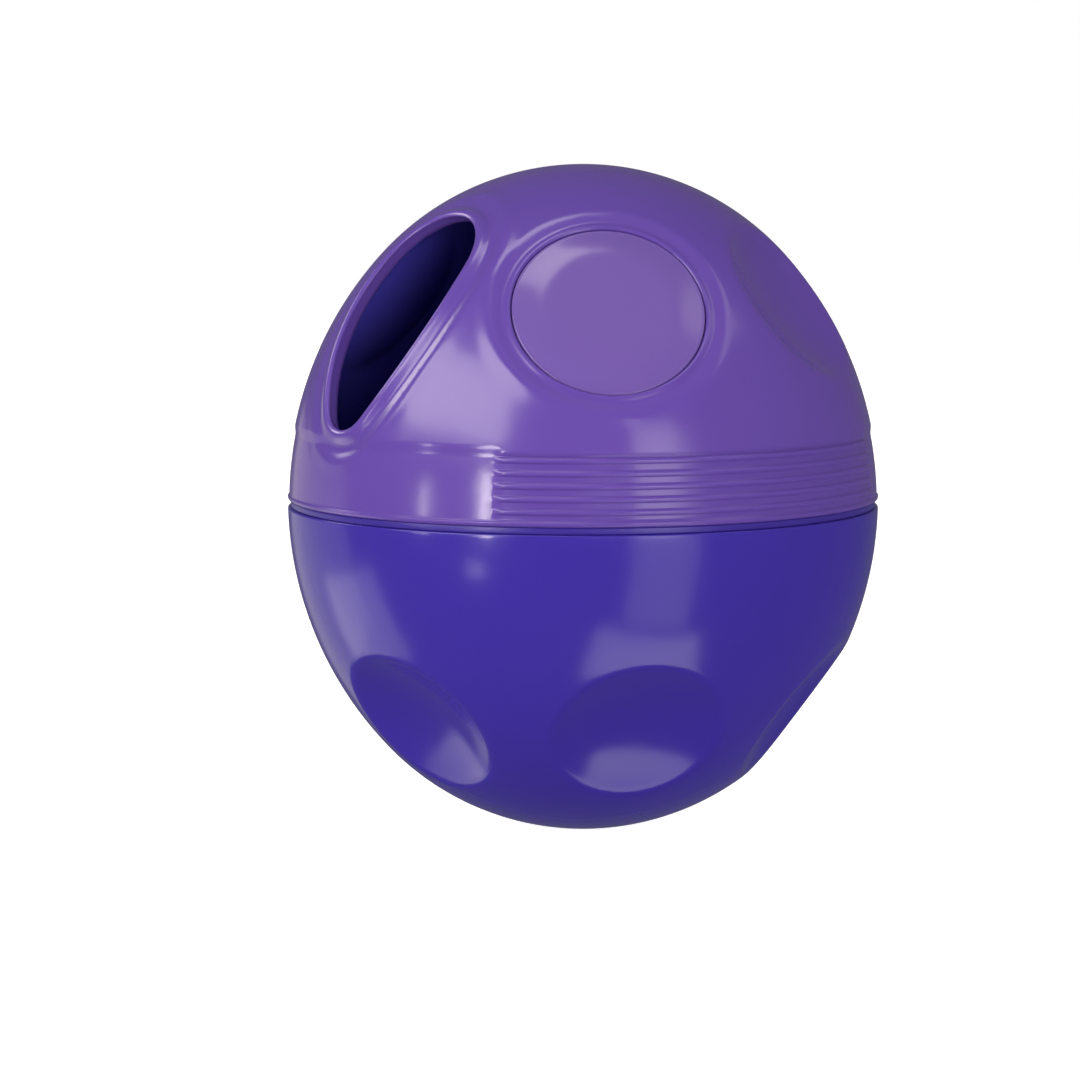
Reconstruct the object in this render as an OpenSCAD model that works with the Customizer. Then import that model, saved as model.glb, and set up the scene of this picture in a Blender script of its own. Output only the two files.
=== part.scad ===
// Treat dispensing ball: two moulded half shells that meet at a seam, turn on one another and pull
// apart for filling. The ball stands on its long axis, +Z up, with its centre at the origin and the
// seam at z = 0. The front of the ball, where the round disc sits, faces -Y. Millimetres.

/* [Ball] */
// Height of the closed ball, pole to pole
ball_h = 76.2; // [66:0.1:90]
// Width of the ball across the seam
ball_w = 67.6; // [60:0.1:76]
// Radius of the two rounded ends, as a share of the smaller half size
end_share = 0.918; // [0.88:0.002:0.94]
// Thickness of both shells
wall = 1.6; // [1.4:0.1:2.2]

/* [Seam ring] */
// Thickness of the ring between the two halves
ring_t = 0.8; // [0.5:0.05:1.2]
// How far the ring's edge sits in from the ball's surface
ring_inset = 0.35; // [0.2:0.05:0.8]
// Radial clearance of the ring on the neck
ring_fit = 0.08; // [0.02:0.01:0.1]

/* [Neck and skirt] */
// Thickness of the upper shell's skirt at its rim
skirt_wall = 2; // [1.8:0.1:2.6]
// Depth of the straight bore inside the skirt
skirt_bore_h = 7; // [6.4:0.1:8]
// Thickness of the lower shell's neck
neck_wall = 1.3; // [1:0.1:1.8]
// Height of the neck above the shoulder that carries the ring
neck_h = 7.2; // [6.4:0.1:7.6]
// How far the snap bead stands out from the neck
bead_h = 0.4; // [0.3:0.05:0.6]
// Height of the snap bead above the shoulder
bead_z = 4.4; // [3.6:0.1:5]
// Radial clearance of the snap bead in the skirt
bead_fit = 0.1; // [0.05:0.01:0.2]
// Depth of the groove in the skirt that the bead snaps into
groove_d = 0.25; // [0.15:0.05:0.35]

/* [Band] */
// Height of the grip band, from the rim to the ledge above it
band_h = 8.7; // [8:0.1:10]
// Height of the plain rim below the band
rim_h = 0.9; // [0.6:0.05:1.2]
// How far the band steps in under the ledge
ledge_d = 0.25; // [0.15:0.05:0.5]
// Number of grip ribs
rib_count = 5; // [3:1:5]
// Height of the lowest rib above the rim
rib_first_z = 1.6; // [1.4:0.05:2]
// Spacing of the ribs
rib_pitch = 1.37; // [1.2:0.01:1.45]
// Thickness of a rib
rib_w = 0.7; // [0.5:0.05:0.9]
// Depth of the ribbed zones below the ball's surface
rib_d = 0.28; // [0.2:0.01:0.4]
// Angle that one ribbed zone covers
rib_zone_angle = 90; // [60:1:110]
// Direction of the first ribbed zone's left end, from the front
rib_zone_turn = -16.3; // [-40:0.1:20]

/* [Dimples] */
// Number of places around each half
place_count = 6; // [5:1:6]
// Direction of the disc on the upper half, from the front
upper_turn = 6.5; // [-30:0.5:30]
// Direction of the first dimple on the lower half, from the front
lower_turn = 14; // [-30:0.5:30]
// How far the upper places look up
upper_tilt = 35; // [32:0.5:38]
// How far the lower dimples look down
lower_tilt = 35.7; // [32:0.1:38]
// Radius of an upper dimple at its edge
upper_dimple_r = 10.2; // [8:0.1:11]
// Radius of a lower dimple at its edge
lower_dimple_r = 9.4; // [8:0.1:11]
// Depth of a dimple below its edge
dimple_depth = 2; // [1:0.1:3]

/* [Opening] */
// How far the treat opening looks up
hole_tilt = 32.5; // [30:0.5:36]
// Lean of the opening's top towards the disc
hole_lean = 3.7; // [0:0.1:8]
// Radius of the opening's blunt upper end
hole_top_r = 7.6; // [6:0.1:8]
// Height of that end's centre above the middle of the opening
hole_top_c = 6.3; // [5:0.1:7]
// Radius of the opening's narrow lower end
hole_tip_r = 4; // [3:0.1:5]
// Depth of that end's centre below the middle of the opening
hole_tip_c = 9.9; // [8:0.1:11]
// Radius of the opening's bowed sides
hole_side_r = 26; // [20:0.5:40]
// Width of the raised lip around the opening
lip_w = 1.3; // [1:0.1:2]
// Height of the lip above the ball's surface
lip_h = 0.3; // [0.2:0.05:0.6]

/* [Disc] */
// Radius of the round disc
disc_r = 10.5; // [9:0.1:11]
// Gap around the disc in its seat
disc_gap = 0.1; // [0.05:0.01:0.2]
// Thickness of the disc at its edge
disc_edge_t = 1.2; // [0.8:0.1:1.6]
// Rise of the disc's crown above its edge
disc_crown = 1.6; // [1:0.1:2]
// Radius of the flat that is sunk around the disc
disc_flat_r = 13; // [12.4:0.1:13.4]

/* [Hidden] */
$fn = 96;
// Purple plastic of the upper half, the deeper one of the lower half, and the disc and ring
upper_color = [0.41, 0.31, 0.63];
lower_color = [0.32, 0.25, 0.61];
disc_color = [0.44, 0.33, 0.65];
ring_color = [0.26, 0.19, 0.55];
// How far every cut runs past what it cuts
over = wall;
// The outline is an oval of four arcs: two rounded ends and two flatter sides
half_h = ball_h / 2;
half_w = ball_w / 2;
end_r = end_share * min(half_w, half_h);
end_c = half_h - end_r;
side_r = (half_w * half_w + end_c * end_c - end_r * end_r) / (2 * (half_w - end_r));
side_c = side_r - half_w;
mean_r = (half_w + half_h) / 2;
// The neck fits inside the skirt, and the ring lies on the shoulder below it
shoulder_z = -ring_t;
skirt_bore_r = half_w - skirt_wall;
neck_r = skirt_bore_r - bead_fit - bead_h;
neck_bore_r = neck_r - neck_wall;
place_pitch = 360 / place_count;
hole_turn = upper_turn - place_pitch;
// The centre of the opening's bowed sides, placed so that they meet both end circles smoothly
hole_top_gap = hole_side_r - hole_top_r;
hole_tip_gap = hole_side_r - hole_tip_r;
hole_side_z = (hole_tip_gap * hole_tip_gap - hole_top_gap * hole_top_gap + hole_top_c * hole_top_c
    - hole_tip_c * hole_tip_c) / (2 * (hole_top_c + hole_tip_c));
hole_side_c = sqrt(hole_top_gap * hole_top_gap - (hole_top_c - hole_side_z) * (hole_top_c - hole_side_z));
// The disc's flat and the floor of its seat, measured down from the ball's surface
disc_flat_z = -disc_flat_r * disc_flat_r / (2 * mean_r);
disc_seat_z = disc_flat_z - disc_edge_t;
// The disc's profile: its number of steps, and the exponent that keeps its crown almost flat
disc_steps = 12;
disc_power = 4;
// The opening's outline is pushed in this far, past the shell's inner face at both its ends
hole_depth = hole_top_r + wall;
// Number of sides on the small round sections of the ribs, bead and groove
small_fn = 32;

// Radius of the ball's surface at height z on its flatter side
function ball_r(z) = sqrt(side_r * side_r - z * z) - side_c;

// One side of an oval: two end circles on the axis and a bowed side that meets both smoothly, with
// its centre bow_c behind the axis at height bow_z. grow moves the whole outline out or in.
module oval_side(top_c, top_r, low_c, low_r, bow_r, bow_c, bow_z, grow) {
    high = bow_z + (bow_r + grow) * (top_c - bow_z) / (bow_r - top_r);
    low = bow_z - (bow_r + grow) * (low_c + bow_z) / (bow_r - low_r);
    reach = bow_r + top_r + low_r;
    intersection() {
        union() {
            translate([0, top_c]) circle(r = top_r + grow);
            translate([0, -low_c]) circle(r = low_r + grow);
            intersection() {
                translate([-bow_c, bow_z]) circle(r = bow_r + grow);
                translate([0, low]) square([reach, high - low]);
            }
        }
        translate([0, -reach]) square([reach, 2 * reach]);
    }
}

// The ball as a solid body, grown or shrunk, between two heights
module ball_body(grow, low, high) {
    rotate_extrude()
        intersection() {
            oval_side(end_c, end_r, end_c, end_r, side_r, side_c, 0, grow);
            translate([0, low]) square([half_w + over, high - low]);
        }
}

// Puts its children on the ball's surface, with +Z outwards and +Y up the ball
module at_ball(turn, tilt) {
    rotate([0, 0, turn])
        translate([0, side_c - side_r * cos(tilt), side_r * sin(tilt)])
            rotate([90 - tilt, 0, 0])
                children();
}

// The hollow of one dimple of edge radius r, grown for the bulge that it makes inside the shell
module dimple(r, grow) {
    sphere_r = (r * r + dimple_depth * dimple_depth) / (2 * dimple_depth);
    floor_z = -dimple_depth - r * r / (2 * mean_r);
    translate([0, 0, floor_z + sphere_r])
        sphere(r = sphere_r + grow);
}

// The dimples of the upper half stand at every place but the opening's and the disc's
module upper_dimples(grow) {
    for (i = [1:place_count - 2])
        at_ball(upper_turn + i * place_pitch, upper_tilt)
            dimple(upper_dimple_r, grow);
}

module lower_dimples(grow) {
    for (i = [0:place_count - 1])
        at_ball(lower_turn + i * place_pitch, -lower_tilt)
            dimple(lower_dimple_r, grow);
}

// One side of the treat opening's outline, which is blunt at the top and narrow at the bottom
module hole_side(grow) {
    oval_side(hole_top_c, hole_top_r, hole_tip_c, hole_tip_r, hole_side_r, hole_side_c, hole_side_z, grow);
}

// That outline, pushed through the wall along the opening's own axis
module hole_prism(grow, low, high) {
    at_ball(hole_turn, hole_tilt)
        rotate([0, 0, -hole_lean])
            translate([0, 0, low])
                linear_extrude(height = high - low)
                    union() {
                        hole_side(grow);
                        mirror([1, 0]) hole_side(grow);
                    }
}

// The raised lip follows the ball's surface around the opening
module hole_lip() {
    intersection() {
        ball_body(lip_h, 0, half_h + over);
        difference() {
            hole_prism(lip_w, -hole_depth, lip_h + over);
            hole_prism(0, -hole_depth - over, lip_h + 2 * over);
        }
    }
}

// The plain band steps in under the ledge and fades out towards the rim
module band_taper() {
    rotate_extrude()
        polygon([
            [ball_r(rim_h), rim_h],
            [ball_r(band_h) - ledge_d, band_h],
            [half_w + over, band_h],
            [half_w + over, rim_h]
        ]);
}

// A ribbed zone is sunk by one depth over its whole height
module rib_zone() {
    rotate_extrude(angle = rib_zone_angle)
        polygon([
            [ball_r(rim_h) - rib_d, rim_h],
            [ball_r((rim_h + band_h) / 2) - rib_d, (rim_h + band_h) / 2],
            [ball_r(band_h) - rib_d, band_h],
            [half_w + over, band_h],
            [half_w + over, rim_h]
        ]);
}

module rib(z) {
    rotate_extrude(angle = rib_zone_angle)
        translate([ball_r(z) - rib_w / 2, z])
            circle(d = rib_w, $fn = small_fn);
}

// Two ribbed zones face one another across the ball
module at_rib_zones() {
    for (side = [0, 180])
        rotate([0, 0, rib_zone_turn - 90 + side])
            children();
}

// The seat of the disc: a flat in the ball's surface with a round pocket in it
module disc_seat() {
    at_ball(upper_turn, upper_tilt) {
        translate([0, 0, disc_flat_z])
            cylinder(r = disc_flat_r + over, h = -disc_flat_z + over);
        translate([0, 0, disc_seat_z])
            cylinder(r = disc_r + disc_gap, h = -disc_seat_z);
    }
}

// The wall behind that seat
module disc_boss() {
    at_ball(upper_turn, upper_tilt)
        translate([0, 0, disc_seat_z - wall])
            cylinder(r = disc_r + disc_gap + wall, h = -disc_seat_z + wall);
}

// The space inside the upper half: the dome, and the straight bore that takes the neck
module upper_hollow() {
    difference() {
        ball_body(-wall, -over, half_h);
        upper_dimples(wall);
        disc_boss();
    }
    translate([0, 0, -over])
        cylinder(r = skirt_bore_r, h = skirt_bore_h + over);
    translate([0, 0, shoulder_z + bead_z])
        rotate_extrude()
            translate([skirt_bore_r, 0])
                circle(r = groove_d, $fn = small_fn);
}

module upper_shell() {
    color(upper_color)
        difference() {
            union() {
                difference() {
                    ball_body(0, 0, half_h + over);
                    band_taper();
                    at_rib_zones() rib_zone();
                    upper_dimples(0);
                    disc_seat();
                }
                at_rib_zones()
                    for (i = [0:rib_count - 1])
                        rib(rib_first_z + i * rib_pitch);
                hole_lip();
            }
            upper_hollow();
            hole_prism(0, -hole_depth - over, lip_h + over);
        }
}

module lower_shell() {
    color(lower_color)
        difference() {
            union() {
                difference() {
                    ball_body(0, -half_h - over, shoulder_z);
                    lower_dimples(0);
                }
                translate([0, 0, shoulder_z - neck_wall])
                    cylinder(r = neck_r, h = neck_h + neck_wall);
                translate([0, 0, shoulder_z + bead_z])
                    rotate_extrude()
                        translate([neck_r, 0])
                            circle(r = bead_h, $fn = small_fn);
            }
            intersection() {
                difference() {
                    ball_body(-wall, -half_h, 0);
                    lower_dimples(wall);
                }
                translate([0, 0, -half_h])
                    cylinder(r = neck_bore_r, h = half_h + over);
            }
            translate([0, 0, shoulder_z - neck_wall])
                cylinder(r = neck_bore_r, h = neck_h + neck_wall + over);
        }
}

module seam_ring() {
    color(ring_color)
        translate([0, 0, shoulder_z])
            difference() {
                cylinder(r = half_w - ring_inset, h = ring_t);
                translate([0, 0, -over])
                    cylinder(r = neck_r + ring_fit, h = ring_t + 2 * over);
            }
}

// The disc's face rises steeply from its edge to an almost flat crown
module front_disc() {
    color(disc_color)
        at_ball(upper_turn, upper_tilt)
            translate([0, 0, disc_seat_z])
                rotate_extrude()
                    polygon(concat(
                        [[0, 0], [disc_r, 0]],
                        [for (i = [disc_steps:-1:0])
                            let (share = i / disc_steps)
                            [disc_r * share, disc_edge_t + disc_crown * (1 - pow(share, disc_power))]]
                    ));
}

lower_shell();
seam_ring();
upper_shell();
front_disc();
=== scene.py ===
import math

import bmesh
import bpy
from mathutils import Matrix, Vector


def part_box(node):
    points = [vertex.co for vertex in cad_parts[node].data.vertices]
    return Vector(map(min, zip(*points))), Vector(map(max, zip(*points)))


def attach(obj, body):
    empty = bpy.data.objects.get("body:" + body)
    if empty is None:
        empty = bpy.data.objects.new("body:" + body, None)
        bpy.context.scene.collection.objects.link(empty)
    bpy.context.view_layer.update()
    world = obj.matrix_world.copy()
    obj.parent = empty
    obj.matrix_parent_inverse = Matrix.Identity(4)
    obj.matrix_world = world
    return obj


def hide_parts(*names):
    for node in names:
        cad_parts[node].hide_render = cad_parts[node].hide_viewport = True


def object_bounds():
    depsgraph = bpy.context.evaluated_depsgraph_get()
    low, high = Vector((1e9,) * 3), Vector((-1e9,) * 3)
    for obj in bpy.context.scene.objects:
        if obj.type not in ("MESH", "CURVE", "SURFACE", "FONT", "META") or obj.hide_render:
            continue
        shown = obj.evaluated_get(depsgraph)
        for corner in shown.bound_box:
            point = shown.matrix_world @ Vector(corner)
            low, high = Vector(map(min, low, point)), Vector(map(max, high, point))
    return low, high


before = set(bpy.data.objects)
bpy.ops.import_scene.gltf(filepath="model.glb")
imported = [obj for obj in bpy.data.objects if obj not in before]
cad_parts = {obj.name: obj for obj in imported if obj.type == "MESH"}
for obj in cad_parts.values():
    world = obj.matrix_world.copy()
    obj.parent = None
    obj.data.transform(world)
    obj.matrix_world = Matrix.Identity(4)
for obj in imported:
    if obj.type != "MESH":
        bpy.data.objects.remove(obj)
cad_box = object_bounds()
scene = bpy.context.scene

# Camera: the photograph looks at the front of the ball from a little above its seam, through a
# long lens. The ball's centre lies right of the middle of the picture and above it.
image_px = 1080
ball_centre_px = (583.0, 496.9)
focal_px = 3861
camera_distance = 0.4433
camera_rise = math.radians(5.66)
sensor_mm = 36
near_clip = 0.01
camera_data = bpy.data.cameras.new("camera")
camera = bpy.data.objects.new("camera", camera_data)
scene.collection.objects.link(camera)
towards_camera = Vector((0, -math.cos(camera_rise), math.sin(camera_rise)))
camera.location = camera_distance * towards_camera
camera.rotation_euler = towards_camera.to_track_quat("Z", "Y").to_euler()
camera_data.sensor_width = sensor_mm
camera_data.lens = sensor_mm * focal_px / image_px
camera_data.shift_x = (image_px / 2 - ball_centre_px[0]) / image_px
camera_data.shift_y = (ball_centre_px[1] - image_px / 2) / image_px
camera_data.clip_start = near_clip
scene.camera = camera
scene.view_settings.view_transform = "Standard"

# Light: soft boxes round the ball, the main one high on the left, and fills that don't show in
# its gloss. The surround is dim to the ball, and plain white to the camera.
lamp_colour = (1, 0.9, 0.84)
lamp_distance = 0.5
fill_distance = 0.9


def soft_box(name, turn, rise, width, height, power, distance=lamp_distance, shines=True):
    """A soft light seen from the ball's centre at a turn from the front and a rise, in degrees."""
    turn, rise = math.radians(turn), math.radians(rise)
    towards = Vector((math.sin(turn) * math.cos(rise), -math.cos(turn) * math.cos(rise),
                      math.sin(rise)))
    data = bpy.data.lights.new(name, "AREA")
    data.shape = "RECTANGLE"
    data.size = width
    data.size_y = height
    data.energy = power
    data.color = lamp_colour
    light = bpy.data.objects.new(name, data)
    light.visible_glossy = shines
    light.location = distance * towards
    light.rotation_euler = towards.to_track_quat("Z", "Y").to_euler()
    scene.collection.objects.link(light)


soft_box("key_light", turn=-54, rise=30, width=0.4, height=0.2, power=1.35)
soft_box("key_halo", turn=-54, rise=31, width=0.46, height=0.28, power=0.3)
soft_box("key_left_edge", turn=-61, rise=0, width=0.012, height=0.1, power=0.1)
soft_box("key_right_edge", turn=-36, rise=2, width=0.014, height=0.16, power=0.4)
soft_box("low_spot", turn=-41, rise=-18, width=0.06, height=0.03, power=0.028)
soft_box("strip_light", turn=31, rise=-7, width=0.22, height=0.56, power=0.5)
soft_box("strip_core", turn=28, rise=9, width=0.14, height=0.3, power=0.28)
soft_box("top_light", turn=-39, rise=80, width=0.17, height=0.17, power=0.38)
soft_box("side_light", turn=75, rise=50, width=0.2, height=0.16, power=0.14)
soft_box("lip_light", turn=-118, rise=28, width=0.12, height=0.12, power=0.25)
soft_box("rim_light", turn=-128, rise=-14, width=0.5, height=0.3, power=0.24)
soft_box("under_light", turn=30, rise=-48, width=0.34, height=0.16, power=0.42)
soft_box("left_under_light", turn=-106, rise=-28, width=0.3, height=0.2, power=0.24)
fills = (("front_fill", 8, 1, 0.26, 4.2), ("left_fill", -85, 5, 1, 2),
         ("right_fill", 85, 5, 1, 4), ("back_fill", 180, 10, 1, 7),
         ("high_fill", 0, 80, 1, 3.6), ("low_fill", 0, -60, 1, 4.4))
for fill_name, fill_turn, fill_rise, fill_size, fill_power in fills:
    soft_box(fill_name, fill_turn, fill_rise, fill_size, fill_size, fill_power,
             distance=fill_distance, shines=False)

mirrored_share = 0.05


def seen_directly(nodes, links):
    """A value of 1 for what the camera sees straight or through glass, and far less in gloss."""
    path = nodes.new("ShaderNodeLightPath")
    mirrored = nodes.new("ShaderNodeMath")
    mirrored.operation = "MULTIPLY_ADD"
    mirrored.inputs[1].default_value = mirrored_share
    links.new(path.outputs["Is Glossy Ray"], mirrored.inputs[0])
    links.new(path.outputs["Is Transmission Ray"], mirrored.inputs[2])
    seen = nodes.new("ShaderNodeMath")
    seen.operation = "MAXIMUM"
    links.new(path.outputs["Is Camera Ray"], seen.inputs[0])
    links.new(mirrored.outputs[0], seen.inputs[1])
    return seen.outputs[0]


# The Mix node's colour sockets are reached by number, because their names are shared.
mix_share, mix_first, mix_second, mix_result = 0, 6, 7, 2
surround_grey = 0.08
world = bpy.data.worlds.new("surround")
scene.world = world
world.use_nodes = True
world_nodes, world_links = world.node_tree.nodes, world.node_tree.links
world_nodes.clear()
surround = world_nodes.new("ShaderNodeMix")
surround.data_type = "RGBA"
surround.inputs[mix_first].default_value = (surround_grey, surround_grey, surround_grey, 1)
surround.inputs[mix_second].default_value = (1, 1, 1, 1)
background = world_nodes.new("ShaderNodeBackground")
world_out = world_nodes.new("ShaderNodeOutputWorld")
world_links.new(seen_directly(world_nodes, world_links), surround.inputs[mix_share])
world_links.new(surround.outputs[mix_result], background.inputs["Color"])
world_links.new(background.outputs[0], world_out.inputs["Surface"])

# Floor: a pale table under the ball. To the camera it glows almost to white and its paint adds
# the rest, so the ball leaves its soft shadow on it. It isn't seen in the ball's gloss, and the
# light of the lamps below it comes through it.
floor_size = 3
floor_glow = 0.95
floor_grey = 0.5
floor_roughness = 0.9
floor_mesh = bmesh.new()
bmesh.ops.create_grid(floor_mesh, x_segments=1, y_segments=1, size=floor_size)
bmesh.ops.translate(floor_mesh, verts=floor_mesh.verts, vec=(0, 0, cad_box[0][2]))
floor_data = bpy.data.meshes.new("floor")
floor_mesh.to_mesh(floor_data)
floor = bpy.data.objects.new("floor", floor_data)
scene.collection.objects.link(floor)
floor_paint = bpy.data.materials.new("floor_paint")
floor_paint.use_nodes = True
floor_nodes, floor_links = floor_paint.node_tree.nodes, floor_paint.node_tree.links
floor_shader = floor_nodes["Principled BSDF"]
floor_shader.inputs["Base Color"].default_value = (floor_grey, floor_grey, floor_grey, 1)
floor_shader.inputs["Roughness"].default_value = floor_roughness
floor_shader.inputs["Emission Color"].default_value = (1, 1, 1, 1)
glow = floor_nodes.new("ShaderNodeMath")
glow.operation = "MULTIPLY"
glow.inputs[1].default_value = floor_glow
floor_links.new(seen_directly(floor_nodes, floor_links), glow.inputs[0])
floor_links.new(glow.outputs[0], floor_shader.inputs["Emission Strength"])
floor_data.materials.append(floor_paint)
floor.visible_shadow = False
floor.visible_glossy = False

# Lower half: a cup moulded in deep purple plastic, with six round dimples. At its mouth it
# steps in to a shoulder and a thin neck, whose bead snaps into the upper half.
half_w = cad_box[1][0]
half_h = cad_box[1][2]
end_share = 0.918
end_r = end_share * min(half_w, half_h)
end_c = half_h - end_r
side_r = (half_w ** 2 + end_c ** 2 - end_r ** 2) / (2 * (half_w - end_r))
side_c = side_r - half_w
mean_r = (half_w + half_h) / 2
wall = 0.0016
row = 0.00055
on_axis = 1e-9
arc_passes = 5


def level(point):
    """How far a point lies outside the ball's outline, and the outline's outward direction."""
    out = math.hypot(point.x, point.y)
    rise = abs(point.z)
    if rise * side_c > end_c * (out + side_c):
        to_out, to_rise, radius = out, rise - end_c, end_r
    else:
        to_out, to_rise, radius = out + side_c, rise, side_r
    reach = math.hypot(to_out, to_rise)
    along = to_out / reach / out if out > on_axis else 0
    up = math.copysign(to_rise / reach, point.z)
    return reach - radius, Vector((point.x * along, point.y * along, up))


def to_level(point, wanted):
    """The point moved straight out or in to a wanted distance from the ball's outline."""
    distance, outward = level(point)
    return point + (wanted - distance) * outward


def outline_arc(wanted, start, stop, step):
    """Profile points on the ball's outline, or at a distance from it, between two latitudes."""
    count = max(2, round(abs(stop - start) * mean_r / step))
    points = []
    for i in range(count + 1):
        latitude = start + (stop - start) * i / count
        direction = Vector((math.cos(latitude), 0, math.sin(latitude)))
        reach = mean_r
        for _ in range(arc_passes):
            distance, outward = level(reach * direction)
            reach -= (distance - wanted) / outward.dot(direction)
        points.append(reach * direction)
    return points


def rounded(before, corner, after, radius, steps=4):
    """Profile points that round a corner."""
    start = corner + radius * (before - corner).normalized()
    stop = corner + radius * (after - corner).normalized()
    shares = [i / steps for i in range(steps + 1)]
    return [(1 - t) ** 2 * start + 2 * t * (1 - t) * corner + t ** 2 * stop for t in shares]


round_steps = 400
doublings = 4
merge_gap = 1e-6


def spun(profile):
    """A mesh turned from a profile about the ball's long axis: a sixteenth, doubled 4 times."""
    mesh = bmesh.new()
    verts = [mesh.verts.new(point) for point in profile]
    edges = [mesh.edges.new(pair) for pair in zip(verts, verts[1:])]
    sectors = 2 ** doublings
    angle = 2 * math.pi / sectors
    bmesh.ops.spin(mesh, geom=verts + edges, cent=(0, 0, 0), axis=(0, 0, 1), angle=angle,
                   steps=round_steps // sectors)
    for doubling in range(doublings):
        whole = mesh.verts[:] + mesh.edges[:] + mesh.faces[:]
        copied = bmesh.ops.duplicate(mesh, geom=whole)["geom"]
        copied_verts = [item for item in copied if isinstance(item, bmesh.types.BMVert)]
        bmesh.ops.rotate(mesh, verts=copied_verts, cent=(0, 0, 0),
                         matrix=Matrix.Rotation(angle * 2 ** doubling, 3, "Z"))
    bmesh.ops.remove_doubles(mesh, verts=mesh.verts, dist=merge_gap)
    bmesh.ops.recalc_face_normals(mesh, faces=mesh.faces)
    return mesh


def place(turn, tilt):
    """A place on the ball's outline, with +Z outwards and +Y up the ball. Angles in degrees."""
    turn, tilt = math.radians(turn), math.radians(tilt)
    on_side = (0, side_c - side_r * math.cos(tilt), side_r * math.sin(tilt))
    return (Matrix.Rotation(turn, 4, "Z") @ Matrix.Translation(on_side)
            @ Matrix.Rotation(math.pi / 2 - tilt, 4, "X"))


def dome_z(across):
    """Height of the ball's outline at a distance from the middle of a place on it."""
    return -across ** 2 / (2 * mean_r)


def soft_max(value, soft):
    """The value where it is above zero, with a soft turn of that width at zero."""
    blend = max(soft - abs(value), 0) / soft
    return max(value, 0) + blend * blend * soft / 4


def bowl_depth(across, radius, depth, soft):
    """Depth of a round bowl below the ball's outline at a distance from the bowl's middle."""
    sphere_r = (radius ** 2 + depth ** 2) / (2 * depth)
    if across >= sphere_r:
        return 0
    floor_z = dome_z(radius) - depth
    sphere_z = floor_z + sphere_r - math.sqrt(sphere_r ** 2 - across ** 2)
    return soft_max(dome_z(across) - sphere_z, soft)


bowl_reach = 1.5


def press_bowls(mesh, places, radius, depth, soft):
    """Presses a round bowl into the shell at each place, through both of its skins."""
    for at in places:
        back, middle, axis = at.inverted(), at.translation, at.col[2].to_3d()
        for vert in mesh.verts:
            if (vert.co - middle).length < bowl_reach * radius:
                local = back @ vert.co
                across = math.hypot(local.x, local.y)
                vert.co -= bowl_depth(across, radius, depth, soft) * axis


def finished(mesh, name, body, node, slot, *materials):
    """Turns a finished mesh into a smooth-shaded piece that stands for its CAD node."""
    data = bpy.data.meshes.new(name)
    mesh.to_mesh(data)
    mesh.free()
    data.shade_smooth()
    piece = bpy.data.objects.new(name, data)
    scene.collection.objects.link(piece)
    for material in materials:
        data.materials.append(material)
    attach(piece, body)
    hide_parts(node)


wave_scale, wave_detail = 230, 1
cloud_scale, cloud_detail = 90, 3
grain_scale, grain_detail = 1600, 2
grain_height_share = 0.03
bump_distance = 0.0004


def moulded_skin_group():
    """The skin of moulded plastic: a cloudy colour, an uneven gloss, fine grain, slow ripples."""
    group = bpy.data.node_groups.new("moulded_skin", "ShaderNodeTree")
    for name, kind in (("Colour", "NodeSocketColor"), ("Deep colour", "NodeSocketColor"),
                       ("Gloss", "NodeSocketFloat"), ("Gloss spread", "NodeSocketFloat"),
                       ("Ripple", "NodeSocketFloat")):
        group.interface.new_socket(name, in_out="INPUT", socket_type=kind)
    for name, kind in (("Colour", "NodeSocketColor"), ("Roughness", "NodeSocketFloat"),
                       ("Normal", "NodeSocketVector")):
        group.interface.new_socket(name, in_out="OUTPUT", socket_type=kind)
    nodes, links = group.nodes, group.links
    given = nodes.new("NodeGroupInput")
    result = nodes.new("NodeGroupOutput")
    where = nodes.new("ShaderNodeTexCoord")

    def noise(scale, detail):
        texture = nodes.new("ShaderNodeTexNoise")
        texture.inputs["Scale"].default_value = scale
        texture.inputs["Detail"].default_value = detail
        links.new(where.outputs["Object"], texture.inputs["Vector"])
        return texture.outputs["Fac"]

    waves = noise(wave_scale, wave_detail)
    clouds = noise(cloud_scale, cloud_detail)
    grain = noise(grain_scale, grain_detail)
    tint = nodes.new("ShaderNodeMix")
    tint.data_type = "RGBA"
    links.new(clouds, tint.inputs[mix_share])
    links.new(given.outputs["Deep colour"], tint.inputs[mix_first])
    links.new(given.outputs["Colour"], tint.inputs[mix_second])
    links.new(tint.outputs[mix_result], result.inputs["Colour"])
    spread = nodes.new("ShaderNodeMath")
    spread.operation = "MULTIPLY_ADD"
    links.new(grain, spread.inputs[0])
    links.new(given.outputs["Gloss spread"], spread.inputs[1])
    links.new(given.outputs["Gloss"], spread.inputs[2])
    links.new(spread.outputs[0], result.inputs["Roughness"])
    surface = nodes.new("ShaderNodeMath")
    surface.operation = "MULTIPLY_ADD"
    surface.inputs[1].default_value = grain_height_share
    links.new(grain, surface.inputs[0])
    links.new(waves, surface.inputs[2])
    bump = nodes.new("ShaderNodeBump")
    bump.inputs["Distance"].default_value = bump_distance
    links.new(surface.outputs[0], bump.inputs["Height"])
    links.new(given.outputs["Ripple"], bump.inputs["Strength"])
    links.new(bump.outputs["Normal"], result.inputs["Normal"])
    return group


moulded_skin = moulded_skin_group()
plastic_ior = 1.5


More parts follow.
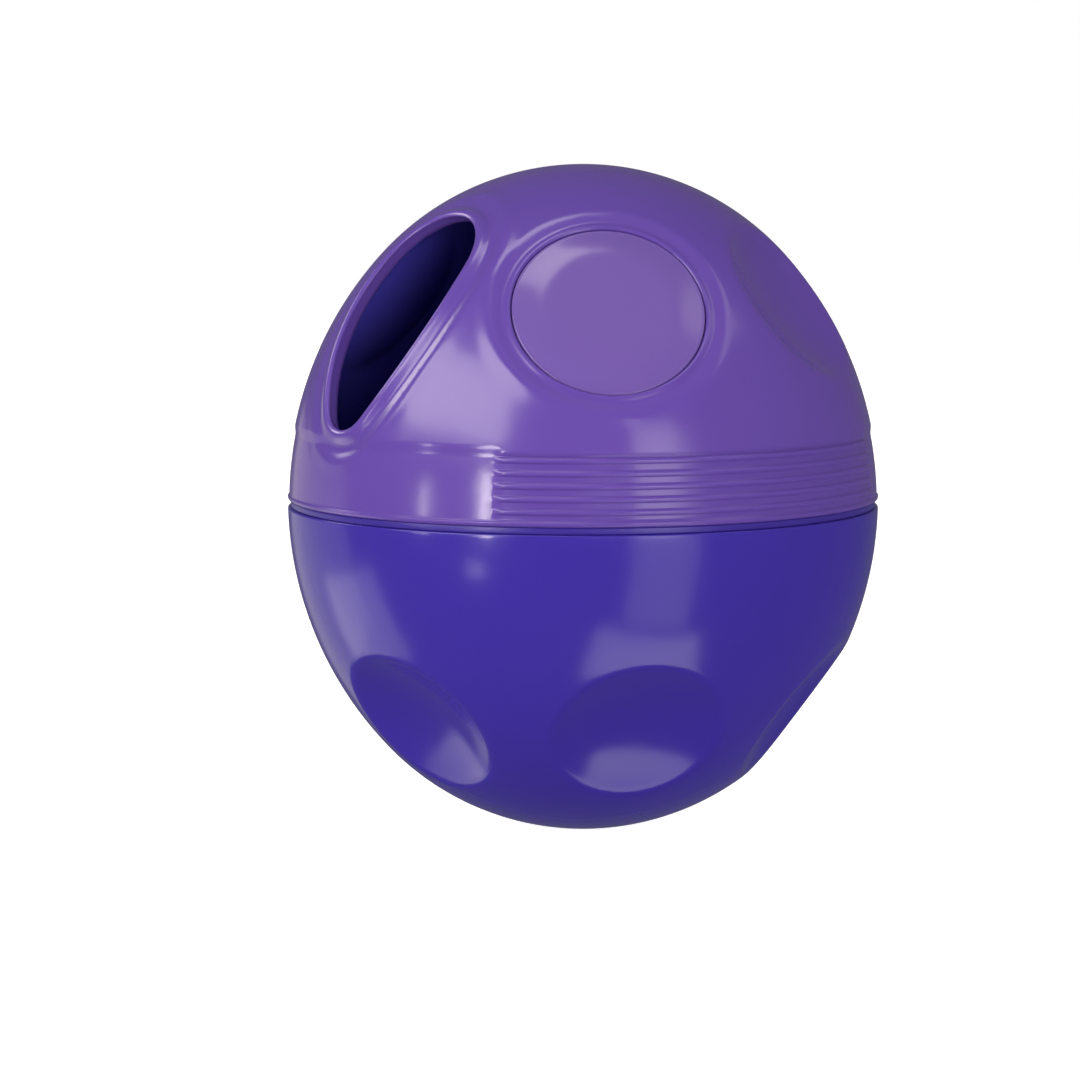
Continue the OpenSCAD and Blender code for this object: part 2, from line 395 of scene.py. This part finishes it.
def moulded_plastic(name, colour, deep_colour, gloss, gloss_spread=0.04, ripple=0.1):
    """Purple plastic as it comes from the mould. A lower gloss value makes it shinier."""
    material = bpy.data.materials.new(name)
    material.use_nodes = True
    nodes, links = material.node_tree.nodes, material.node_tree.links
    shader = nodes["Principled BSDF"]
    skin = nodes.new("ShaderNodeGroup")
    skin.node_tree = moulded_skin
    skin.inputs["Colour"].default_value = (*colour, 1)
    skin.inputs["Deep colour"].default_value = (*deep_colour, 1)
    skin.inputs["Gloss"].default_value = gloss
    skin.inputs["Gloss spread"].default_value = gloss_spread
    skin.inputs["Ripple"].default_value = ripple
    links.new(skin.outputs["Colour"], shader.inputs["Base Color"])
    links.new(skin.outputs["Roughness"], shader.inputs["Roughness"])
    links.new(skin.outputs["Normal"], shader.inputs["Normal"])
    shader.inputs["IOR"].default_value = plastic_ior
    return material


edge_r = 0.0002
shoulder_z = -0.0008
neck_inset = 0.0025
neck_wall = 0.0013
neck_h = 0.0072
bead_rise = 0.0044
bead_h = 0.0004
bead_steps = 8
neck_r = half_w - neck_inset
neck_bore_r = neck_r - neck_wall
neck_top = shoulder_z + neck_h
neck_rim_r = 2 * edge_r
bead_z = shoulder_z + bead_rise
shoulder_r = math.sqrt(side_r ** 2 - shoulder_z ** 2) - side_c
shoulder = Vector((shoulder_r, 0, shoulder_z))
neck_foot = Vector((neck_r, 0, shoulder_z))
bead_low = Vector((neck_r, 0, bead_z - bead_h))
bead_high = Vector((neck_r, 0, bead_z + bead_h))
bead_points = [Vector((neck_r + bead_h * math.sin(a), 0, bead_z - bead_h * math.cos(a)))
               for a in (math.pi * i / bead_steps for i in range(1, bead_steps))]
neck_rim_out = Vector((neck_r, 0, neck_top))
neck_rim_in = Vector((neck_bore_r, 0, neck_top))
bore_foot_z = -math.sqrt((side_r - wall) ** 2 - (neck_bore_r + side_c) ** 2)
bore_foot = Vector((neck_bore_r, 0, bore_foot_z))
lower_end = math.radians(-90)
lower_inner_row = 2 * row
outer_arc = outline_arc(0, lower_end, math.atan2(shoulder_z, shoulder_r), row)
inner_arc = outline_arc(-wall, math.atan2(bore_foot_z, neck_bore_r), lower_end, lower_inner_row)
lower_profile = outer_arc[:-1]
lower_profile += rounded(outer_arc[-2], shoulder, neck_foot, edge_r)
lower_profile += [neck_foot, bead_low] + bead_points + [bead_high]
lower_profile += rounded(bead_points[-1], neck_rim_out, neck_rim_in, neck_rim_r)
lower_profile += rounded(neck_rim_out, neck_rim_in, bore_foot, neck_rim_r)
lower_profile += inner_arc
lower_mesh = spun(lower_profile)
place_count = 6
place_pitch = 60
lower_turn = 14
lower_tilt = 35.7
lower_bowl_r = 0.0096
lower_bowl_depth = 0.002
lower_bowl_soft = 0.0004
lower_places = [place(lower_turn + i * place_pitch, -lower_tilt) for i in range(place_count)]
press_bowls(lower_mesh, lower_places, lower_bowl_r, lower_bowl_depth, lower_bowl_soft)
lower_plastic = moulded_plastic("deep_purple_plastic", colour=(0.03, 0.0175, 0.258),
                                deep_colour=(0.026, 0.0155, 0.242), gloss=0.16)
finished(lower_mesh, "lower_cup", "lower_half", "lower_shell", "lower_plastic", lower_plastic)

# Seam ring: a thin flat ring of purple plastic that lies on the shoulder, round the neck. It sits
# in from the ball's surface, so it reads as a dark line under the upper half's rim, and its colour
# is painted a little darker than the lower half's, as painted shade in that gap.
ring_play = 0.00008
ring_low, ring_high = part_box("seam_ring")
ring_edge = ring_high.x
ring_bore_r = neck_r + ring_play
ring_corners = [Vector((ring_bore_r, 0, ring_low.z)), Vector((ring_edge, 0, ring_low.z)),
                Vector((ring_edge, 0, ring_high.z)), Vector((ring_bore_r, 0, ring_high.z))]
ring_profile = [ring_corners[0]]
ring_profile += rounded(*ring_corners[:3], edge_r)
ring_profile += rounded(*ring_corners[1:], edge_r)
ring_profile += [ring_corners[3], ring_corners[0]]
ring_mesh = spun(ring_profile)
# Painted shade: a little darker than the lower half, for the shade in the gap under the rim.
ring_plastic = moulded_plastic("ring_plastic", colour=(0.03, 0.0165, 0.23),
                               deep_colour=(0.026, 0.0145, 0.215), gloss=0.28)
finished(ring_mesh, "dark_ring", "ring", "seam_ring", "ring_plastic", ring_plastic)

# Upper half: a dome of purple plastic, moulded in one with its grip band, which has a rounded
# rim and fine ribs. It has four dimples, the seat of the disc and the lipped treat opening. Its
# outside is painted paler and pinker than the lower half, as painted light from above on the same
# plastic, and its inner wall is painted a brighter blue, as painted light coming through it.
rim_r = 0.0004
rim_step_d = 0.00016
rim_step_h = 0.0002
rib_low = 0.0016
rib_pitch = 0.00137
rib_count = 5
rib_zs = [rib_low + i * rib_pitch for i in range(rib_count)]
rib_w = 0.0007
rib_d = 0.00028
rib_zone_turns = (-16.3, 163.7)
rib_zone_angle = 90
rib_fade = 0.8
band_low = 0.00045
band_high = 0.0087
ledge_d = 0.00025
ledge_h = 0.0014


def ease(share):
    """A soft step from 0 to 1."""
    share = min(max(share, 0), 1)
    return share * share * (3 - 2 * share)


def rib_height(z):
    """Height of the ribbed zone's surface against the ball's outline."""
    nearest = min(rib_zs, key=lambda rib_z: abs(rib_z - z))
    inside = max((rib_w / 2) ** 2 - (z - nearest) ** 2, 0)
    height = max(math.sqrt(inside) - rib_w / 2, -rib_d)
    edge = min(z - band_low, rib_zs[-1] + rib_w - z)
    return height * ease(edge / (rib_w / 2))


def plain_height(z):
    """Height of the plain band against the ball's outline: it steps in under the ledge."""
    if z > band_high or z < band_low:
        return 0
    under_ledge = ease((band_high - z) / ledge_h)
    over_rim = ease((z - band_low) / rim_step_h)
    up_band = min((z - band_low) / (band_high - ledge_h - band_low), 1)
    return -under_ledge * over_rim * (rim_step_d + (ledge_d - rim_step_d) * up_band)


def band_height(point):
    """Height of the band's surface at a point, ribbed in two zones and plain between them."""
    turn = math.degrees(math.atan2(point.x, -point.y))
    ribbed = 0
    for zone_turn in rib_zone_turns:
        into_zone = (turn - zone_turn) % 360
        if into_zone < rib_zone_angle:
            ribbed = ease(into_zone / rib_fade) * ease((rib_zone_angle - into_zone) / rib_fade)
    return ribbed * rib_height(point.z) + (1 - ribbed) * plain_height(point.z)


upper_turn = 6.5
upper_tilt = 35
hole_tilt = 32.5
hole_lean = math.radians(-3.7)
hole_top_r = 0.0076
hole_top_c = 0.0063
hole_tip_r = 0.004
hole_tip_c = 0.0099
hole_side_r = 0.026
top_gap = hole_side_r - hole_top_r
tip_gap = hole_side_r - hole_tip_r
hole_side_z = ((tip_gap ** 2 - top_gap ** 2 + hole_top_c ** 2 - hole_tip_c ** 2)
               / (2 * (hole_top_c + hole_tip_c)))
hole_side_c = math.sqrt(top_gap ** 2 - (hole_top_c - hole_side_z) ** 2)
hole_at = place(upper_turn - place_pitch, hole_tilt) @ Matrix.Rotation(hole_lean, 4, "Z")


def from_arc(across, up, centre, radius):
    """Distance outside an arc, and the outward direction."""
    gap = Vector((across - centre[0], up - centre[1]))
    return gap.length - radius, gap.normalized()


def from_opening(local):
    """How far a place lies outside the opening's egg-shaped outline, and which way is out."""
    side = math.copysign(1, local.x)
    across = abs(local.x)
    from_side = Vector((across + hole_side_c, local.y - hole_side_z))
    if from_side.y * hole_side_c > from_side.x * (hole_top_c - hole_side_z):
        distance, outward = from_arc(across, local.y, (0, hole_top_c), hole_top_r)
    elif from_side.y * hole_side_c < -from_side.x * (hole_tip_c + hole_side_z):
        distance, outward = from_arc(across, local.y, (0, -hole_tip_c), hole_tip_r)
    else:
        side_centre = (-hole_side_c, hole_side_z)
        distance, outward = from_arc(across, local.y, side_centre, hole_side_r)
    return distance, Vector((side * outward.x, outward.y))


lip_round = 0.0008
lip_crest = 0.0006
lip_h = 0.00014
valley_at = 0.0019
valley_d = 0.00032
valley_left = 0.25
valley_fade = 0.6
valley_end = 0.0033
valley_run = 1.6
valley_soft = 0.00016
ridge_h = 0.0002
ridge_w = 0.0018


def ridge(from_crest):
    """Height of the soft ridge where a hollow meets the dome."""
    return ridge_h * (1 - ease(abs(from_crest) / ridge_w))


def lip_height(out, side):
    """Height of the surface round the opening: a rounded lip, a valley, then the dome's edge."""
    to_right = ease(valley_fade + valley_fade * side)
    depth = valley_d * (valley_left + (1 - valley_left) * to_right)
    if out < lip_crest:
        round_h = math.sqrt(max(lip_round ** 2 - (lip_crest - out) ** 2, 0))
        return lip_h - lip_round + round_h
    if out < valley_at:
        return lip_h - (lip_h + depth) * ease((out - lip_crest) / (valley_at - lip_crest))
    rise = (out - valley_at) / (valley_end - valley_at)
    valley = soft_max(depth * math.cos(math.pi / 2 * min(rise, valley_run)), valley_soft)
    return ridge(out - valley_end) * depth / valley_d - valley


disc_r = 0.0105
disc_gap = 0.0001
disc_edge_t = 0.0012
disc_flat_r = 0.013
disc_flat_soft = 0.00006
disc_flat_z = dome_z(disc_flat_r)
disc_floor_z = disc_flat_z - disc_edge_t
disc_at = place(upper_turn, upper_tilt)
seat_r = disc_r + disc_gap
seat_rim_out = 0.00025
seat_rim_r = seat_r + seat_rim_out
seat_rim_inner_w = 0.0004
seat_rim_outer_w = 0.0008
seat_rim_h = 0.00024
seat_ridge_lean = 0.6
seat_ridge_gain = 1.5
seat_ridge_start = 0.4


def from_seat(local):
    """How far a place lies outside the disc's round seat, and which way is out."""
    return from_arc(local.x, local.y, (0, 0), seat_r)


def seat_depth(local):
    """Depth of the flat round the disc below the outline, less its rim and, on its left, a ridge."""
    across = math.hypot(local.x, local.y)
    flat = soft_max(dome_z(across) - disc_flat_z, disc_flat_soft)
    rim_w = seat_rim_inner_w if across < seat_rim_r else seat_rim_outer_w
    rim = seat_rim_h * (1 - ease(abs(across - seat_rim_r) / rim_w))
    to_left = -(local.x + seat_ridge_lean * local.y) / max(across, on_axis)
    ridge_share = ease(seat_ridge_gain * to_left - seat_ridge_start)
    return flat - rim - ridge(across - disc_flat_r) * ridge_share


skin_passes = 4
edge_passes = 14
near_rings = 4
near_passes = 8
near_factor = 0.5


def onto_outline(point, at, outline, out, skin):
    """A point moved to a distance outside an outline, and along the place's axis to the skin."""
    local = at.inverted() @ point
    distance, outward = outline(local)
    local.x += (out - distance) * outward.x
    local.y += (out - distance) * outward.y
    axis = at.col[2].to_3d()
    moved = at @ local
    for _ in range(skin_passes):
        distance, normal = level(moved)
        moved += (skin - distance) / normal.dot(axis) * axis
    return moved


def cut(mesh, at, outline, out, skin, is_skin):
    """Opens one skin of the shell along an outline seen from its place, and returns the edge."""
    back = at.inverted()
    axis = at.col[2].to_3d()
    faces = []
    for face in mesh.faces:
        middle = face.calc_center_median()
        if middle.dot(axis) > 0 and is_skin(middle) and outline(back @ middle)[0] < out:
            faces.append(face)
    before = {edge for edge in mesh.edges if edge.is_boundary}
    bmesh.ops.delete(mesh, geom=faces, context="FACES")
    edges = [edge for edge in mesh.edges if edge.is_boundary and edge not in before]
    opened = set(edges)
    verts = list({vert for edge in edges for vert in edge.verts})
    beside = {vert: [edge.other_vert(vert) for edge in vert.link_edges if edge in opened]
              for vert in verts}
    for _ in range(edge_passes):
        middles = {vert: (beside[vert][0].co + beside[vert][1].co) / 2 for vert in verts}
        for vert in verts:
            vert.co = onto_outline((vert.co + middles[vert]) / 2, at, outline, out, skin)
    near = set(verts)
    for _ in range(near_rings):
        near |= {edge.other_vert(vert) for vert in near for edge in vert.link_edges}
    near = list(near - set(verts))
    for _ in range(near_passes):
        bmesh.ops.smooth_vert(mesh, verts=near, factor=near_factor, use_axis_x=True,
                              use_axis_y=True, use_axis_z=True)
        for vert in near:
            vert.co = to_level(vert.co, skin)
    return edges


def extruded(mesh, edges):
    """A new loop of edges grown from an open edge, and its corner points."""
    grown = bmesh.ops.extrude_edge_only(mesh, edges=edges)["geom"]
    loop = [item for item in grown if isinstance(item, bmesh.types.BMEdge)]
    return loop, [item for item in grown if isinstance(item, bmesh.types.BMVert)]


def outer_skin(point):
    """Whether a point is on the shell's outer skin."""
    return level(point)[0] > -wall / 2


def inner_skin(point):
    """Whether a point is on the shell's inner skin."""
    return level(point)[0] < -wall / 2


def outline_r(z):
    """Radius of the ball's outline at a height near its seam."""
    return math.sqrt(side_r ** 2 - z ** 2) - side_c


rim_rows = 4
low_band_rows = [0.0009, 0.0011]
rib_row_shares = (-0.62, -0.5, -0.42, -0.28, -0.1, 0.1, 0.28, 0.42, 0.5, 0.62)
ledge_rows = [0.0081, 0.0083, 0.0085, 0.0086, 0.00865, 0.0087, 0.00875, 0.0088, 0.0089]
band_rows = [band_low + i * rim_step_h / rim_rows for i in range(rim_rows + 1)]
band_rows += low_band_rows
for rib_z in rib_zs:
    band_rows += [rib_z + share * rib_w for share in rib_row_shares] + [rib_z + rib_w]
band_rows += ledge_rows

skirt_inset = 0.002
skirt_bore_r = half_w - skirt_inset
groove_d = 0.00025
groove_steps = 6
rim_out = Vector((half_w, 0, 0))
rim_in = Vector((skirt_bore_r, 0, 0))
band_points = [Vector((outline_r(z), 0, z)) for z in band_rows]
bore_top_z = math.sqrt((side_r - wall) ** 2 - (skirt_bore_r + side_c) ** 2)
bore_top = Vector((skirt_bore_r, 0, bore_top_z))
groove_points = [Vector((skirt_bore_r + groove_d * math.sin(a), 0, bead_z + groove_d * math.cos(a)))
                 for a in (math.pi * i / groove_steps for i in range(groove_steps + 1))]
upper_end = math.radians(90)
upper_inner_share = 2.2
upper_inner_row = upper_inner_share * row
upper_outer = outline_arc(0, upper_end, math.atan2(band_rows[-1], outline_r(band_rows[-1])), row)
upper_profile = upper_outer[:-1] + band_points[::-1]
upper_profile += rounded(band_points[0], rim_out, rim_in, rim_r)
upper_profile += rounded(rim_out, rim_in, bore_top, edge_r)
upper_profile += groove_points[::-1]
upper_profile += outline_arc(-wall, math.atan2(bore_top_z, skirt_bore_r), upper_end,
                             upper_inner_row)
upper_mesh = spun(upper_profile)

# The treat opening: both skins are cut, the lip is grown inwards, and the wall joins them.
inner_cut_out = 0.0004
opening_cut_out = 0.0024
lip_rows = (0.002, 0.0017, 0.0014, 0.0011, 0.0009, 0.0007, 0.00055, 0.0004, 0.00028, 0.00018,
            0.0001, 0.00004, 0)
wall_row_shares = (0.15, 0.4, 0.65, 0.9)
inside_share = 0.9
inner_edge = cut(upper_mesh, hole_at, from_opening, inner_cut_out, -wall, inner_skin)
opening_edge = cut(upper_mesh, hole_at, from_opening, opening_cut_out, 0, outer_skin)
for out in lip_rows:
    opening_edge, corners = extruded(upper_mesh, opening_edge)
    for corner in corners:
        corner.co = onto_outline(corner.co, hole_at, from_opening, out, 0)
hole_axis = hole_at.col[2].to_3d()
wall_start = lip_height(0, 0)
wall_verts = set()
for share in wall_row_shares:
    opening_edge, corners = extruded(upper_mesh, opening_edge)
    down = wall_start + share * (-wall - wall_start)
    for corner in corners:
        corner.co = onto_outline(corner.co, hole_at, from_opening, 0, 0) + down * hole_axis
    wall_verts |= set(corners)
bmesh.ops.bridge_loops(upper_mesh, edges=opening_edge + inner_edge)
# The inner skin gets the second material, painted brighter and bluer as painted light through the
# shell.
for face in upper_mesh.faces:
    middle = face.calc_center_median()
    if middle.z > edge_r and level(middle)[0] < -inside_share * wall:
        face.material_index = 1

# The disc's seat: the outer skin is cut, and a round pocket with a flat floor is grown from it.
seat_cut_out = 0.0016
seat_rows = (0.0013, 0.0011, 0.0009, 0.00075, 0.0006, 0.00048, 0.00036, 0.00024, 0.00014,
             0.00006, 0)
seat_edge_d = 0.0004
seat_floor_shares = (1, 0.6, 0.2)
seat_edge = cut(upper_mesh, disc_at, from_seat, seat_cut_out, 0, outer_skin)
for out in seat_rows:
    seat_edge, corners = extruded(upper_mesh, seat_edge)
    for corner in corners:
        corner.co = onto_outline(corner.co, disc_at, from_seat, out, 0)
seat_back = disc_at.inverted()
seat_steps = [(seat_r, disc_flat_z - seat_edge_d)]
seat_steps += [(seat_r * share, disc_floor_z) for share in seat_floor_shares]
for radius, height in seat_steps:
    seat_edge, corners = extruded(upper_mesh, seat_edge)
    for corner in corners:
        local = seat_back @ corner.co
        outward = Vector((local.x, local.y)).normalized()
        corner.co = disc_at @ Vector((radius * outward.x, radius * outward.y, height))
    wall_verts |= set(corners)
bmesh.ops.edgeloop_fill(upper_mesh, edges=seat_edge)

# The skins take their fine forms: the band, the lip, the flat round the disc and, inside, the
# boss under the disc's pocket.
hole_near_z = -0.012
seat_near_z = -0.01
lip_reach_share = 1.6
seat_margin = 0.002
lip_reach = lip_reach_share * valley_end
seat_reach = disc_flat_r + seat_margin
boss_r = seat_r + wall
boss_floor_z = disc_floor_z - wall
hole_back = hole_at.inverted()
disc_axis = disc_at.col[2].to_3d()
for vert in upper_mesh.verts:
    if vert in wall_verts or vert.co.z < band_low:
        continue
    distance, outward = level(vert.co)
    in_seat = seat_back @ vert.co
    across = math.hypot(in_seat.x, in_seat.y)
    in_hole = hole_back @ vert.co
    if distance > -wall / 2:
        if vert.co.z < band_high + row:
            vert.co += band_height(vert.co) * Vector((outward.x, outward.y, 0)).normalized()
        if in_hole.z > hole_near_z:
            out, way_out = from_opening(in_hole)
            if out < lip_reach:
                vert.co += lip_height(max(out, 0), way_out.x) * outward
        if in_seat.z > seat_near_z and across < seat_reach:
            vert.co -= seat_depth(in_seat) * disc_axis
    elif in_seat.z > seat_near_z and across < boss_r + row:
        boss_depth = max(dome_z(across) - wall - boss_floor_z, 0)
        vert.co -= boss_depth * ease((boss_r + row - across) / (2 * row)) * disc_axis

# The dimples. The disc has the first of the six places, and the opening has the last.
upper_bowl_r = 0.0102
upper_bowl_depth = 0.002
upper_bowl_soft = 0.0004
upper_places = [place(upper_turn + i * place_pitch, upper_tilt)
                for i in range(1, place_count - 1)]
press_bowls(upper_mesh, upper_places, upper_bowl_r, upper_bowl_depth, upper_bowl_soft)
bmesh.ops.recalc_face_normals(upper_mesh, faces=upper_mesh.faces)
# The outside colour is paler and pinker than the lower half's: painted light from above.
upper_plastic = moulded_plastic("purple_plastic", colour=(0.086, 0.047, 0.28),
                                deep_colour=(0.077, 0.042, 0.264), gloss=0.16)
# The inside colour is a brighter blue: painted light coming through the shell.
inner_plastic_painted_light = moulded_plastic("purple_plastic_inside_painted_light", colour=(0.07, 0.062, 0.53),
                                deep_colour=(0.06, 0.054, 0.48), gloss=0.4)
finished(upper_mesh, "upper_dome", "upper_half", "upper_shell", "upper_plastic",
         upper_plastic, inner_plastic_painted_light)

# Disc: a round pillow of the same plastic, pressed into its own seat in the dome, and painted a
# little paler than the dome as painted light. Its face is bare, almost flat in the middle, and
# slopes gently down to its edge.
disc_crown = 0.0011
disc_shoulder_start = 0.0056
disc_shoulder_end = 0.0097
disc_slope = 0.24
disc_centre_slope = 0.06
disc_rows = 60
disc_round_steps = 200
disc_mesh = bmesh.new()
bottom = [Vector((0, 0, disc_floor_z)), Vector((disc_r - edge_r, 0, disc_floor_z)),
          Vector((disc_r, 0, disc_floor_z + edge_r))]
face = [Vector((0, 0, disc_floor_z + disc_edge_t + disc_crown))]
step = (disc_r - edge_r) / disc_rows
for i in range(disc_rows):
    middle = (i + 0.5) * step
    shoulder_share = ease((middle - disc_shoulder_start) / (disc_shoulder_end - disc_shoulder_start))
    slope = disc_centre_slope * middle / disc_r + disc_slope * shoulder_share
    face.append(face[-1] + Vector((step, 0, -slope * step)))
disc_corner = Vector((disc_r, 0, face[-1].z - disc_slope * edge_r))
face += rounded(face[-2], disc_corner, bottom[-1], edge_r)
face.reverse()
disc_verts = [disc_mesh.verts.new(point) for point in bottom + face]
disc_edges = [disc_mesh.edges.new(pair) for pair in zip(disc_verts, disc_verts[1:])]
bmesh.ops.spin(disc_mesh, geom=disc_verts + disc_edges, cent=(0, 0, 0), axis=(0, 0, 1),
               angle=2 * math.pi, steps=disc_round_steps, use_merge=True)
bmesh.ops.remove_doubles(disc_mesh, verts=disc_mesh.verts, dist=merge_gap)
bmesh.ops.recalc_face_normals(disc_mesh, faces=disc_mesh.faces)
bmesh.ops.transform(disc_mesh, matrix=disc_at, verts=disc_mesh.verts)
# Painted light: paler than the dome's colour, though the plastic is the same.
disc_plastic = moulded_plastic("disc_plastic", colour=(0.112, 0.07, 0.29),
                               deep_colour=(0.102, 0.064, 0.275), gloss=0.16)
finished(disc_mesh, "pillow_disc", "upper_half", "front_disc", "disc_plastic", disc_plastic)
